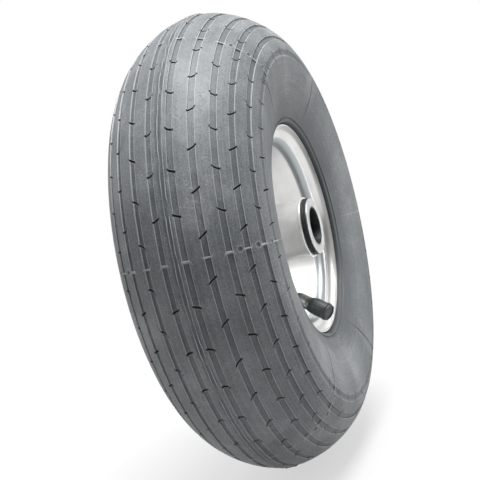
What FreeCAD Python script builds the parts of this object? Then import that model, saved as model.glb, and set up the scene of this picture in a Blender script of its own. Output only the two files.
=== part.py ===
"""Pneumatic hand-truck wheel: a ribbed tyre and tube on a split pressed-steel rim, with a roller-bearing hub.

Frame: origin at the wheel's centre, +Y along the axle towards the valve side, +Z up, valve at -Z. Millimetres.
Sections are drawn with x as the radius and y along the axle, and turned about the Y axis.
"""

import FreeCAD
import Part
import math
import os

# Tyre
tyre_diameter = 260.0
tyre_width = 83.5
crown_height = 33.0          # widest point of the section up to the crown
section_power = 1.72         # 2 would be an ellipse; less makes flatter shoulders
lower_height = 70.0          # half height of the curve that the lower sidewall follows
rib_grooves_deg = (10.0, 29.0, 47.5, 62.5, 77.5, 90.0)
groove_width = 3.2
groove_floor_width = 2.6
groove_depth = 0.9
sidewall_chords = 3
ring_line_offset = 4.0       # ring line moulded on the sidewall, out from the flange
ring_line_height = 0.5
ring_line_width = 0.8
lining_walls = ((24.0, 7.5), (52.0, 6.5), (82.0, 5.0))  # angle from the crown, rubber there
side_wall = 4.0
bead_width = 6.5
bead_height = 6.0
toe_width = 3.5
lip_cover = 0.9              # the rubber ends this far short of the flange's lip
lip_shoulder = 1.2           # and stands this far out from it
slope_step_deg = 0.5

# Rim, one pressed half mirrored to the other side
sheet = 1.6
seat_diameter = 101.6
flange_height = 8.5
flange_inner_y = 25.4        # tyre side of the flange
flange_lip_y = 31.3
seat_start_y = 20.5
seat_taper = 0.4
disc_edge_radius = 39.5
disc_bend = 6.6
crease_bend = 3.4
heel_bend = 3.0
curl_bend = 4.6
curl_share = 0.95            # most of the flange's flat that the curl may take
bead_gap = 0.05
disc_hole_gap = 0.05
chord_deg = 30.0             # a bend is made of chords of about this turn

# Rim bolts
bolt_count = 4
bolt_circle_radius = 26.8
bolt_diameter = 6.0
bolt_across_flats = 10.0
bolt_head = 4.0
bolt_tail = 1.5
nut_height = 5.0
bolt_hole_clearance = 0.3

# Hub
hub_length = 75.0
axle_bore_diameter = 20.2
sleeve_wall = 1.5
sleeve_chamfer = 0.5
roller_diameter = 2.6
roller_play = 0.03
roller_length = 13.8
roller_count = 14
cage_length = 17.0
cage_side_gap = 0.25
pocket_gap = 0.06
tube_wall = 1.8
tube_end_inset = 3.6         # hub tube stops this far short of the hub's end face
lip_height = 1.1
lip_width = 1.3
lip_chamfer = 0.4
end_gap = 0.3                # running gap along the axle
end_washer_thickness = 0.9
end_washer_edge = 0.2
seal_plug_length = 3.2
seal_gap = 0.3
seal_groove_depth = 0.4
seal_ridges = 3
weld_leg = 1.5

# Valve
valve_seat_along_wall = 12.5   # from the disc's edge up the rim's sloping wall
valve_arm_height = 7.5         # arm's centre line above the wall
valve_swing_deg = 21.0         # arm turned about its foot, off the plane through the axle
valve_bend = 5.0
bend_share = 0.9               # most of the arm's height that the bend may take
stem_diameter = 7.7
stem_inside = 6.0              # how far the foot reaches into the tyre
air_passage = 2.6
stem_length = 22.0             # along the arm, from the foot's centre line to the end
core_diameter = 5.2
core_inset = 0.8
core_length = 8.0
core_room = 11.5               # depth of the wide bore for the core and its poppet
core_ledge = -5.8              # where the spring's room ends, from the stem's end
pin_radius = 0.7
pin_slack = 0.25
pin_standing = 0.5
pin_play = 0.05
poppet_radius = 2.0
poppet_thickness = 0.8
button_radius = 1.3
button_thickness = 0.7
spring_room_radius = 1.5
spring_wire = 0.35
spring_turns = 4
base_radius = 6.5
base_thickness = 2.5
base_neck = 0.9
base_collar = 0.8
cap_diameter = 9.6
cap_length = 12.8
cap_rear_diameter = 8.6
cap_taper_length = 2.6
cap_collar = 0.3
cap_collar_width = 1.4
cap_thread_gap = 0.1
cap_top = 1.6
cap_dish = 0.5
cap_play = 0.2
gasket_thickness = 0.8

# Inner tube
tube_skin = 1.5
tube_gap = 0.15

overcut = 1.0                # a cutter reaches this far past the face it cuts

# Worked out from the sizes above
half_width = tyre_width / 2
tyre_radius = tyre_diameter / 2
widest_radius = tyre_radius - crown_height
seat_radius = seat_diameter / 2
flange_radius = seat_radius + flange_height
hub_half = hub_length / 2
bore_radius = axle_bore_diameter / 2
sleeve_radius = bore_radius + sleeve_wall
tube_inner = sleeve_radius + roller_diameter
tube_outer = tube_inner + tube_wall
tube_end_y = hub_half - tube_end_inset
disc_hole_radius = tube_outer + disc_hole_gap

origin = FreeCAD.Vector(0, 0, 0)
axle = FreeCAD.Vector(0, 1, 0)
across = FreeCAD.Vector(1, 0, 0)
out_of_section = FreeCAD.Vector(0, 0, 1)


def at(radius, along):
    """A point of a section: radius from the axle, distance along it."""
    return FreeCAD.Vector(radius, along, 0)


def turned(points):
    """The solid that a closed outline sweeps once round the axle."""
    return Part.Face(Part.makePolygon(points + points[:1])).revolve(origin, axle, 360)


def ring(inner, outer, low, high):
    """A plain ring about the axle."""
    return turned([at(inner, low), at(outer, low), at(outer, high), at(inner, high)])


def mirrored(shape):
    """The same piece on the other side of the wheel's middle plane."""
    return shape.mirror(origin, axle)


def whole(half):
    """A closed outline from its half, which starts and ends on or beside the middle plane."""
    other = [at(point.x, -point.y) for point in reversed(half) if point.y > 0]
    return half + other


def left_of(direction):
    """The section direction a quarter turn to the left."""
    return FreeCAD.Vector(-direction.y, direction.x, 0)


def moved_corner(before, corner, after, offset):
    """A corner between two edges that both move to their left by the offset."""
    first = left_of((corner - before).normalize())
    second = left_of((after - corner).normalize())
    return corner + (first + second) * (offset / (1 + first.dot(second)))


def inset(corners, offset):
    """A closed outline's corners, moved to its inside by the offset."""
    following = corners[1:] + corners[:1]
    return [moved_corner(a, b, c, offset) for a, b, c in zip(corners[-1:] + corners, corners, following)]


def fold(points, bends, offset):
    """A folded sheet's face, at an offset to the left of the base line, with its bends in chords."""
    ahead = points[0] + points[0] - points[1]
    beyond = points[-1] + points[-1] - points[-2]
    longer = [ahead] + points + [beyond]
    corners = [moved_corner(a, b, c, offset) for a, b, c in zip(longer, points, longer[2:])]
    face = [corners[0]]
    for before, corner, after, bend in zip(corners, corners[1:], corners[2:], bends):
        way_in = (corner - before).normalize()
        way_out = (after - corner).normalize()
        side = 1 if left_of(way_in).dot(way_out) > 0 else -1
        radius = bend - side * offset
        turn = math.degrees(way_in.getAngle(way_out))
        first = corner - way_in * radius * math.tan(math.radians(turn / 2))
        centre = first + left_of(way_in) * radius * side
        chords = max(1, round(turn / chord_deg))
        for i in range(chords + 1):
            part_turn = FreeCAD.Rotation(out_of_section, side * turn * i / chords)
            face.append(centre + part_turn.multVec(first - centre))
    face.append(corners[-1])
    return face


# The tyre side of one rim half, from the disc's hole out to the flange's lip
rim_line = [
    at(disc_hole_radius, 0),
    at(disc_edge_radius, 0),
    at(seat_radius, seat_start_y),
    at(seat_radius + seat_taper, flange_inner_y),
    at(flange_radius, flange_inner_y),
    at(flange_radius, flange_lip_y),
]
curl = min(curl_bend, curl_share * (flange_height - seat_taper - heel_bend))
rim_bends = (disc_bend, crease_bend, heel_bend, curl)
wall_way = (rim_line[2] - rim_line[1]).normalize()
wall_out = left_of(wall_way)


def tyre_surface(angle_deg):
    """A point of the tyre's section, by its angle from the crown about the widest height."""
    angle = math.radians(angle_deg)
    height = crown_height if math.cos(angle) >= 0 else lower_height
    sideways = abs(math.sin(angle)) / half_width
    upwards = abs(math.cos(angle)) / height
    reach = (sideways ** section_power + upwards ** section_power) ** (-1 / section_power)
    return at(widest_radius + reach * math.cos(angle), reach * math.sin(angle))


def lower_sidewall(radius):
    """Half the tyre's width at a radius below its widest point."""
    drop = (widest_radius - radius) / lower_height
    return half_width * (1 - drop ** section_power) ** (1 / section_power)


def groove_corners(angle_deg):
    """Edge, floor, floor, edge: the four corners of a groove cut square to the tread."""
    centre = tyre_surface(angle_deg)
    along, inward = surface_ways(angle_deg)
    floor = centre + inward * groove_depth
    return [
        centre - along * (groove_width / 2),
        floor - along * (groove_floor_width / 2),
        floor + along * (groove_floor_width / 2),
        centre + along * (groove_width / 2),
    ]


def surface_ways(angle_deg):
    """Directions at a point of the tyre's section: along the surface, and square into the rubber."""
    before = tyre_surface(angle_deg - slope_step_deg)
    along = (tyre_surface(angle_deg + slope_step_deg) - before).normalize()
    return along, left_of(along)


bead_toe_y = seat_start_y - toe_width
bead_top = at(seat_radius + bead_height, flange_inner_y - bead_width)


def lining():
    """Half of the cavity's lining, from the middle plane down to the top of the bead."""
    points = [tyre_surface(deg) + surface_ways(deg)[1] * wall for deg, wall in lining_walls]
    knee_radius = (bead_top.x + widest_radius) / 2
    knee = at(knee_radius, lower_sidewall(knee_radius) - side_wall)
    return [at(points[0].x, 0)] + points + [knee, bead_top]


def make_tyre():
    """Rubber cover: ribbed tread, two beads and an open inside, moulded as one piece."""
    half = [at(tyre_radius, 0)]
    for angle_deg in rib_grooves_deg:
        half.extend(groove_corners(angle_deg))
    line_radius = flange_radius + ring_line_offset
    line_top = line_radius + ring_line_width / 2
    line_foot = line_radius - ring_line_width / 2
    drop = half[-1].x - line_top
    for i in range(1, sidewall_chords + 1):
        radius = line_top + drop * (1 - i / sidewall_chords)
        half.append(at(radius, lower_sidewall(radius)))
    half.append(at(line_radius, lower_sidewall(line_radius) + ring_line_height))
    half.append(at(line_foot, lower_sidewall(line_foot)))
    shoulder_radius = flange_radius + lip_shoulder
    half.append(at(shoulder_radius, lower_sidewall(shoulder_radius)))
    half.extend(bead_seat())
    half.append(at(seat_radius + bead_gap, bead_toe_y))
    inside = lining()
    return turned(whole(half + inside[::-1]))


def bead_seat():
    """The tyre's face against the flange, from the flange's lip to the heel, with a bevel clear of each bend."""
    face_y = flange_inner_y - bead_gap
    lip_radius = flange_radius + bead_gap
    corner = curl * (1 - math.tan(math.radians(45 / 2)))
    foot_radius = seat_radius + seat_taper + bead_gap
    return [
        at(lip_radius, flange_lip_y - lip_cover),
        at(lip_radius, face_y + corner),
        at(lip_radius - corner, face_y),
        at(foot_radius + heel_bend, face_y),
        at(foot_radius, face_y - heel_bend),
    ]


def make_rim_half():
    """One pressed half of the rim: a flat disc, a sloping wall, the bead seat and a curled flange."""
    tyre_side = fold(rim_line, rim_bends, 0)
    open_side = fold(rim_line, rim_bends, sheet)
    half = turned(tyre_side + open_side[::-1])
    for place in bolt_places():
        foot = place - axle * overcut
        hole = Part.makeCylinder(bolt_diameter / 2 + bolt_hole_clearance, sheet + 2 * overcut, foot, axle)
        half = half.cut(hole)
    return half


def bolt_places():
    """Centres of the rim bolts in the joint of the two halves, set clear of the valve."""
    step = 360 / bolt_count
    angles = [math.radians(step * (i + 0.5)) for i in range(bolt_count)]
    return [
        FreeCAD.Vector(bolt_circle_radius * math.sin(a), 0, bolt_circle_radius * math.cos(a))
        for a in angles
    ]


def hexagon(centre, across_flats, height):
    """A six-sided block standing on its centre, along the axle."""
    reach = across_flats / 2 / math.cos(math.radians(30))
    corners = [
        centre + FreeCAD.Vector(reach * math.cos(math.radians(a)), 0, reach * math.sin(math.radians(a)))
        for a in range(0, 360, 60)
    ]
    return Part.Face(Part.makePolygon(corners + corners[:1])).extrude(axle * height)


def make_rim_bolts():
    """Hexagon-head bolts that clamp the two rim halves, heads on the valve side."""
    grip = 2 * sheet + nut_height + bolt_tail
    bolts = []
    for place in bolt_places():
        head_foot = FreeCAD.Vector(place.x, sheet, place.z)
        shank = Part.makeCylinder(bolt_diameter / 2, grip, head_foot, -axle)
        bolts.append(hexagon(head_foot, bolt_across_flats, bolt_head).fuse(shank).removeSplitter())
    return Part.makeCompound(bolts)


def make_rim_nuts():
    """Hexagon nuts on the far side. Their thread is a plain hole on the bolt's own size."""
    nuts = []
    for place in bolt_places():
        foot = FreeCAD.Vector(place.x, -sheet - nut_height, place.z)
        body = hexagon(foot, bolt_across_flats, nut_height)
        nuts.append(body.cut(Part.makeCylinder(bolt_diameter / 2, nut_height, foot, axle)))
    return Part.makeCompound(nuts)


def make_hub_tube():
    """Steel tube through both discs, with a rolled lip at each end and a weld bead on each disc."""
    outline = [
        at(tube_inner, tube_end_y),
        at(tube_outer + lip_height - lip_chamfer, tube_end_y),
        at(tube_outer + lip_height, tube_end_y - lip_chamfer),
        at(tube_outer + lip_height, tube_end_y - lip_width + lip_chamfer),
        at(tube_outer + lip_height - lip_chamfer, tube_end_y - lip_width),
        at(tube_outer, tube_end_y - lip_width),
        at(tube_outer, sheet + weld_leg),
        at(tube_outer + weld_leg, sheet),
        at(tube_outer, sheet),
    ]
    return turned(whole(outline))


def make_axle_sleeve():
    """Hardened sleeve that the axle clamps or carries, and that the rollers run on."""
    outline = [
        at(bore_radius + sleeve_chamfer, -hub_half),
        at(sleeve_radius, -hub_half),
        at(sleeve_radius, hub_half),
        at(bore_radius + sleeve_chamfer, hub_half),
        at(bore_radius, hub_half - sleeve_chamfer),
        at(bore_radius, -hub_half + sleeve_chamfer),
    ]
    return turned(outline)


end_washer_y = hub_half - end_washer_thickness
seal_end_y = end_washer_y - end_gap
cage_outer_y = tube_end_y - seal_plug_length - end_gap
cage_middle_y = cage_outer_y - cage_length / 2
spacer_half = cage_outer_y - cage_length - end_gap


def make_end_washer():
    """Zinc-plated washer pressed on the sleeve's end, which covers the seal."""
    outline = [
        at(sleeve_radius, end_washer_y),
        at(tube_outer, end_washer_y),
        at(tube_outer, hub_half - end_washer_edge),
        at(tube_outer - end_washer_edge, hub_half),
        at(sleeve_radius, hub_half),
    ]
    return turned(outline)


def make_bearing_seal():
    """Black rubber dust seal: a plug in the tube's end and a ridged collar outside it."""
    bore = sleeve_radius + seal_gap
    ridge = (seal_end_y - tube_end_y) / seal_ridges
    collar = [at(tube_outer, tube_end_y)]
    for i in range(1, seal_ridges):
        groove_y = tube_end_y + ridge * i
        collar.append(at(tube_outer, groove_y - seal_groove_depth))
        collar.append(at(tube_outer - seal_groove_depth, groove_y))
        collar.append(at(tube_outer, groove_y + seal_groove_depth))
    collar.append(at(tube_outer, seal_end_y))
    foot_y = tube_end_y - seal_plug_length
    plug = [at(bore, foot_y), at(tube_inner, foot_y), at(tube_inner, tube_end_y)]
    return turned(plug + collar + [at(bore, seal_end_y)])


def make_bearing_spacer():
    """Distance tube that keeps the two roller cages apart."""
    return ring(sleeve_radius + seal_gap, tube_inner, -spacer_half, spacer_half)


pitch_radius = (sleeve_radius + tube_inner) / 2
roller_radius = roller_diameter / 2 - roller_play


def roller_angles():
    """Even angles of one cage's rollers."""
    return [360 / roller_count * i for i in range(roller_count)]


def make_rollers():
    """Steel rollers of one bearing, each a separate solid."""
    foot = at(pitch_radius, cage_middle_y - roller_length / 2)
    roller = Part.makeCylinder(roller_radius, roller_length, foot, axle)
    return Part.makeCompound([roller.rotated(origin, axle, a) for a in roller_angles()])


def make_cage():
    """Moulded cage with one open pocket for each roller."""
    inner = sleeve_radius + cage_side_gap
    outer = tube_inner - cage_side_gap
    cage = ring(inner, outer, cage_middle_y - cage_length / 2, cage_middle_y + cage_length / 2)
    width = 2 * (roller_radius + pocket_gap)
    length = roller_length + 2 * pocket_gap
    corner = FreeCAD.Vector(inner - overcut, cage_middle_y - length / 2, -width / 2)
    pocket = Part.makeBox(outer - inner + 2 * overcut, length, width, corner)
    pockets = [pocket.rotated(origin, axle, a) for a in roller_angles()]
    return cage.cut(Part.makeCompound(pockets))


# The valve is drawn with its section plane upright, and turned to the bottom of the wheel at the end
valve_foot = rim_line[1] + wall_way * valve_seat_along_wall
arm_start = valve_foot + wall_out * (sheet + valve_arm_height)
arm_way = FreeCAD.Rotation(wall_out, -valve_swing_deg).multVec(wall_way)
stem_end = arm_start + arm_way * stem_length
stem_radius = stem_diameter / 2
neck_radius = stem_radius + base_neck
core_top = -core_inset
core_foot = core_top - core_length
pin_top = core_top + pin_standing
cap_closed = cap_play + gasket_thickness + cap_top


def below(shape):
    """A piece drawn in the section plane, turned to the valve's place at the bottom of the wheel."""
    return shape.rotated(origin, axle, 90)


def on_arm(shape):
    """A piece drawn about the Y axis, with the origin at the stem's open end, moved on to the valve's arm."""
    turn = FreeCAD.Rotation(axle, arm_way)
    return below(shape.transformGeometry(FreeCAD.Placement(stem_end, turn).toMatrix()))


def rod(start, way, radius, length):
    """A round bar from a section point."""
    return Part.makeCylinder(radius, length, start, way)


def stem_bar(radius):
    """Round bar up from the foot, round the bend and out along the arm."""
    bend = min(valve_bend, bend_share * valve_arm_height)
    first = valve_foot - wall_out * stem_inside
    corner_in = arm_start - wall_out * bend
    corner_out = arm_start + arm_way * bend
    centre = corner_in + arm_way * bend
    middle = centre + (arm_start - centre).normalize() * bend
    path = Part.Wire([
        Part.LineSegment(first, corner_in).toShape(),
        Part.Arc(corner_in, middle, corner_out).toShape(),
        Part.LineSegment(corner_out, stem_end).toShape(),
    ])
    circle = Part.Wire([Part.Circle(first, wall_out, radius).toShape()])
    return path.makePipeShell([circle], True, False)


def make_valve_stem():
    """Bent metal stem: a foot through the rim, a right-angle bend, and an arm that the cap screws on."""
    bar = stem_bar(stem_radius).cut(stem_bar(air_passage / 2))
    mouth = rod(stem_end, -arm_way, core_diameter / 2, core_room)
    return below(bar.cut(mouth))


def make_valve_base():
    """Rubber pad bonded round the stem's foot, between the rim's wall and the tube, with a neck in the hole."""
    near = rim_line[1] - wall_way * base_radius
    far = rim_line[2] + wall_way * base_radius
    under = wall_out * -base_thickness
    layer = turned([near, far, far + under, near + under])
    pad = layer.common(rod(valve_foot - wall_out * 2 * base_thickness, wall_out, base_radius, 4 * base_thickness))
    neck = rod(valve_foot - wall_out * base_thickness / 2, wall_out, neck_radius,
               base_thickness / 2 + sheet + base_collar)
    return below(pad.fuse(neck).removeSplitter().cut(stem_bar(stem_radius)))


def make_valve_core():
    """Brass body in the stem's mouth, bored out for the spring above a narrow hole for the pin."""
    outline = [
        at(pin_radius + pin_slack, core_foot),
        at(core_diameter / 2, core_foot),
        at(core_diameter / 2, core_top),
        at(spring_room_radius, core_top),
        at(spring_room_radius, core_ledge),
        at(pin_radius + pin_slack, core_ledge),
    ]
    return on_arm(turned(outline))


def make_core_pin():
    """Pin through the core: a button at the open end, and at the inner end a poppet that shuts the core."""
    poppet_top = core_foot - pin_play
    outline = [
        at(0, poppet_top - poppet_thickness),
        at(poppet_radius, poppet_top - poppet_thickness),
        at(poppet_radius, poppet_top),
        at(pin_radius, poppet_top),
        at(pin_radius, pin_top - button_thickness),
        at(button_radius, pin_top - button_thickness),
        at(button_radius, pin_top),
        at(0, pin_top),
    ]
    return on_arm(turned(outline))


def make_core_spring():
    """Coil of square wire round the pin, from the core's ledge up to the button."""
    foot = core_ledge + pin_play + spring_wire / 2
    length = pin_top - button_thickness - pin_play - spring_wire / 2 - foot
    radius = (pin_radius + spring_room_radius) / 2
    helix = Part.makeHelix(length / spring_turns, length, radius)
    half = spring_wire / 2
    section = Part.makePolygon([
        FreeCAD.Vector(radius - half, 0, -half),
        FreeCAD.Vector(radius + half, 0, -half),
        FreeCAD.Vector(radius + half, 0, half),
        FreeCAD.Vector(radius - half, 0, half),
        FreeCAD.Vector(radius - half, 0, -half),
    ])
    coil = Part.Wire(helix).makePipeShell([section], True, True)
    coil = coil.rotated(origin, across, -90)
    return on_arm(coil.translated(axle * foot))


def make_valve_cap():
    """Plastic screw cap: tapered skirt, grip, a collar near the closed end, and a dished top."""
    rear = cap_closed - cap_length
    radius = cap_diameter / 2
    inner = stem_radius + cap_thread_gap
    ring_foot = cap_closed - cap_top - cap_collar_width
    outline = [
        at(inner, rear),
        at(cap_rear_diameter / 2, rear),
        at(radius, rear + cap_taper_length),
        at(radius, ring_foot),
        at(radius + cap_collar, ring_foot + cap_collar),
        at(radius + cap_collar, ring_foot + cap_collar_width - cap_collar),
        at(radius, ring_foot + cap_collar_width),
        at(radius, cap_closed - cap_dish),
        at(radius - cap_dish, cap_closed),
        at(radius - 2 * cap_dish, cap_closed),
        at(radius - 3 * cap_dish, cap_closed - cap_dish),
        at(0, cap_closed - cap_dish),
        at(0, cap_closed - cap_top),
        at(inner, cap_closed - cap_top),
    ]
    return on_arm(turned(outline))


def make_cap_gasket():
    """Rubber disc inside the cap, against its closed end."""
    return on_arm(rod(at(0, cap_play), axle, stem_radius, gasket_thickness))


def tube_room():
    """The closed outline that the tube is blown up against: lining, beads, and a pad's thickness off the rim."""
    lift = (base_thickness - tube_gap) / wall_way.y
    slope = wall_way.x / wall_way.y
    valley = at(disc_edge_radius + lift, 0)
    corner = at(valley.x + bead_toe_y * slope, bead_toe_y)
    return whole(lining() + [corner, valley])


def make_inner_tube():
    """Rubber tube that holds the air, as it lies blown up against the tyre and above the rim's joint."""
    room = tube_room()
    outer = turned(inset(room, tube_gap))
    air = turned(inset(room, tube_gap + tube_skin))
    foot_hole = rod(valve_foot, -wall_out, stem_radius + tube_gap, base_thickness + 4 * tube_skin)
    return outer.cut(air).cut(below(foot_hole))


outer_rim_half = make_rim_half()
valve_hole = below(rod(valve_foot - wall_out * sheet, wall_out, neck_radius, 3 * sheet))
seal = make_bearing_seal()
end_washer = make_end_washer()
cage = make_cage()
rollers = make_rollers()

nodes = {
    "tyre": make_tyre(),
    "inner_tube": make_inner_tube(),
    "rim_outer_half": outer_rim_half.cut(valve_hole),
    "rim_inner_half": mirrored(outer_rim_half),
    "rim_bolts": make_rim_bolts(),
    "rim_nuts": make_rim_nuts(),
    "hub_tube": make_hub_tube(),
    "bearing_spacer": make_bearing_spacer(),
    "roller_cage_outer": cage,
    "roller_cage_inner": mirrored(cage),
    "rollers_outer": rollers,
    "rollers_inner": mirrored(rollers),
    "bearing_seal_outer": seal,
    "bearing_seal_inner": mirrored(seal),
    "axle_sleeve": make_axle_sleeve(),
    "end_washer_outer": end_washer,
    "end_washer_inner": mirrored(end_washer),
    "valve_stem": make_valve_stem(),
    "valve_base": make_valve_base(),
    "valve_core": make_valve_core(),
    "valve_core_spring": make_core_spring(),
    "valve_core_pin": make_core_pin(),
    "valve_cap": make_valve_cap(),
    "valve_cap_gasket": make_cap_gasket(),
}

os.makedirs("parts", exist_ok=True)
for name, shape in nodes.items():
    shape.exportStep(f"parts/{name}.step")
    box = shape.BoundBox
    print(f"{name:20} solids {len(shape.Solids):3} valid {shape.isValid()} volume {shape.Volume:11.1f}"
          f" y {box.YMin:7.2f} {box.YMax:7.2f} z {box.ZMin:8.2f}")
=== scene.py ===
"""Looks of a pneumatic hand-truck wheel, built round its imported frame. Metres, +Y along the axle, +Z up."""

import math
from collections import namedtuple

import bmesh
import bpy
from mathutils import Matrix, Vector, noise


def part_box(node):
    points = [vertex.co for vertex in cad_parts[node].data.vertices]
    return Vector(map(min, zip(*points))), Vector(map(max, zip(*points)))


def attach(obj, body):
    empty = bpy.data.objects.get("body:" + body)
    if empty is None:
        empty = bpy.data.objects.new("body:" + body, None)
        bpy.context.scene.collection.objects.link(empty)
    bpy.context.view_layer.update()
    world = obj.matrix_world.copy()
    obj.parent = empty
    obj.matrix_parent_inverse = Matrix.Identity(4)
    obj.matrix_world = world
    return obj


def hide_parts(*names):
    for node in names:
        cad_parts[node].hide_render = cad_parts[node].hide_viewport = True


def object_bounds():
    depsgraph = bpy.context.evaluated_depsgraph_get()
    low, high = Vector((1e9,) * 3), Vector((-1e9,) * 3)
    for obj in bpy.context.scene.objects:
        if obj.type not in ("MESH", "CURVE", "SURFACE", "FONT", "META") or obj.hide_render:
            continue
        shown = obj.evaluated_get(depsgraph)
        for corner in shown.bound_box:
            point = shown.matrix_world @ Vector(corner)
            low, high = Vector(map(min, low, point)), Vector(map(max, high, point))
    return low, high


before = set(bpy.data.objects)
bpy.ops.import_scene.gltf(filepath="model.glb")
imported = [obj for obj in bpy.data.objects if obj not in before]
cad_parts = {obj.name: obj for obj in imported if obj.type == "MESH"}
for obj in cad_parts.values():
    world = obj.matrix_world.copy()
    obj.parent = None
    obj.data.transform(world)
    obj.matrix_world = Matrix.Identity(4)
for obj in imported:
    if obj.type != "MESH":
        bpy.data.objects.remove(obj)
cad_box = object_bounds()
mm = 0.001

# The camera stands to the right of the tread and looks past it into the rim's dish. It is tipped on its side a little,
# so that the upright wheel leans in the picture as it does in the photograph.
picture_side = 480
lens_in_pixels = 1312.0
centre_pixel = Vector((252.9, 238.7))
camera_distance = 744.9 * mm
turn_from_axle = math.radians(72.75)
roll = math.radians(-11.86)
valve_turn = math.radians(9.0)

sideways = Vector((-math.cos(turn_from_axle), math.sin(turn_from_axle), 0))
towards_camera = Vector((math.sin(turn_from_axle), math.cos(turn_from_axle), 0))
upwards = Vector((0, 0, 1))
picture_right = sideways * math.cos(roll) + upwards * math.sin(roll)
picture_up = upwards * math.cos(roll) - sideways * math.sin(roll)
about_axle = Matrix.Rotation(-valve_turn, 3, "Y")
axes = [about_axle @ v for v in (picture_right, picture_up, towards_camera)]
camera = bpy.data.objects.new("camera", bpy.data.cameras.new("camera"))
camera.data.sensor_width = 36
camera.data.lens = lens_in_pixels * camera.data.sensor_width / picture_side
camera.data.shift_x = (picture_side / 2 - centre_pixel.x) / picture_side
camera.data.shift_y = (centre_pixel.y - picture_side / 2) / picture_side
camera.data.clip_start = 0.05
camera.matrix_world = Matrix.Translation(axes[2] * camera_distance) @ Matrix(axes).transposed().to_4x4()
bpy.context.scene.collection.objects.link(camera)
bpy.context.scene.camera = camera


# The floor is a wide pale disc that fades to plain white away from the wheel. It keeps the wheel's soft shadow. The
# classes below wrap the nodes of a material, so that its maths reads as plain expressions.
class Value:
    """A number that varies over a surface, or a colour: one output of a node."""

    def __init__(self, shading, socket):
        self.shading = shading
        self.socket = socket

    def maths(self, operation, *numbers):
        return self.shading.value("ShaderNodeMath", {"operation": operation}, dict(enumerate(numbers)))

    def __add__(self, other):
        return self.maths("ADD", self, other)

    def __radd__(self, other):
        return self.maths("ADD", other, self)

    def __sub__(self, other):
        return self.maths("SUBTRACT", self, other)

    def __rsub__(self, other):
        return self.maths("SUBTRACT", other, self)

    def __mul__(self, other):
        return self.maths("MULTIPLY", self, other)

    def __rmul__(self, other):
        return self.maths("MULTIPLY", other, self)

    def __truediv__(self, other):
        return self.maths("DIVIDE", self, other)

    def __pow__(self, other):
        return self.maths("POWER", self, other)

    def __abs__(self):
        return self.maths("ABSOLUTE", self)

    def root(self):
        return self.maths("SQRT", self)

    def largest(self, other):
        return self.maths("MAXIMUM", self, other)

    def off_nearest(self, spacing):
        """Signed distance to the nearest whole number of spacings."""
        return (self.maths("FRACT", self / spacing + 0.5) - 0.5) * spacing

    def rise(self, low, high):
        """0 below low, 1 above high, and smooth between them."""
        return self.shading.value("ShaderNodeMapRange", {"interpolation_type": "SMOOTHSTEP"},
                                  {"Value": self, "From Min": low, "From Max": high})

    def near(self, middle, reach):
        """1 at the middle, falling smoothly to 0 at the reach on both sides."""
        return 1 - abs(self - middle).rise(0, reach)


class Shading:
    """The nodes of the world or of a material."""

    def __init__(self, owner):
        owner.use_nodes = True
        self.tree = owner.node_tree

    def put(self, socket, value):
        """Gives a socket a link or a fixed value."""
        if isinstance(value, Value):
            self.tree.links.new(value.socket, socket)
        else:
            socket.default_value = value

    def node(self, kind, settings, sockets):
        """A node of a kind, with its settings made first, and then its sockets given values or links."""
        made = self.tree.nodes.new(kind)
        for name, setting in settings.items():
            setattr(made, name, setting)
        for name, value in sockets.items():
            self.put(made.inputs[name], value)
        return made

    def value(self, kind, settings=None, sockets=None, output=0):
        """One output of a new node."""
        return Value(self, self.node(kind, settings or {}, sockets or {}).outputs[output])

    def blend(self, share, first, second):
        """One shader fading into another, by a share from 0 to 1."""
        return self.value("ShaderNodeMixShader", {}, {0: share, 1: first, 2: second})


class Finish(Shading):
    """A material: a Principled shader with its fixed values, and what varies it over a surface."""

    def __init__(self, name, **fixed):
        self.material = bpy.data.materials.new(name)
        super().__init__(self.material)
        self.shader = self.tree.nodes["Principled BSDF"]
        self.surface = self.tree.nodes["Material Output"].inputs["Surface"]
        self.vary(**fixed)
        self.place = self.value("ShaderNodeTexCoord", output="Object")
        apart = self.node("ShaderNodeSeparateXYZ", {}, {0: self.place})
        self.x, self.y, self.z = (Value(self, socket) for socket in apart.outputs)
        self.radius = (self.x * self.x + self.z * self.z).root()
        self.angle = self.x.maths("ARCTAN2", self.x, self.z)

    def vary(self, **sockets):
        for name, value in sockets.items():
            self.put(self.shader.inputs[name.replace("_", " ")], value)

    def cloud(self, size, detail=2.0, place=None):
        """Soft random patches about as wide as the size, from 0 to 1."""
        sockets = {"Vector": place or self.place, "Scale": 1 / size, "Detail": detail}
        return self.value("ShaderNodeTexNoise", {}, sockets)

    def round_marks(self, across, along, detail=2.0):
        """Random marks drawn out round the axle: narrow across, and long along their circle at the usual radius."""
        usual_radius = 50 * mm
        turned = self.angle * (usual_radius * across / along)
        drawn_out = self.value("ShaderNodeCombineXYZ", {}, {0: turned, 1: self.y, 2: self.radius})
        return self.cloud(across, detail, drawn_out)

    def mix(self, share, first, second):
        """A colour between two, by a share from 0 to 1."""
        return self.value("ShaderNodeMix", {"data_type": "RGBA"}, {0: share, 6: first, 7: second}, 2)

    def relief(self, height):
        """Bumps of a height in metres."""
        self.vary(Normal=self.value("ShaderNodeBump", {}, {"Height": height, "Distance": 1.0}))


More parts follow.
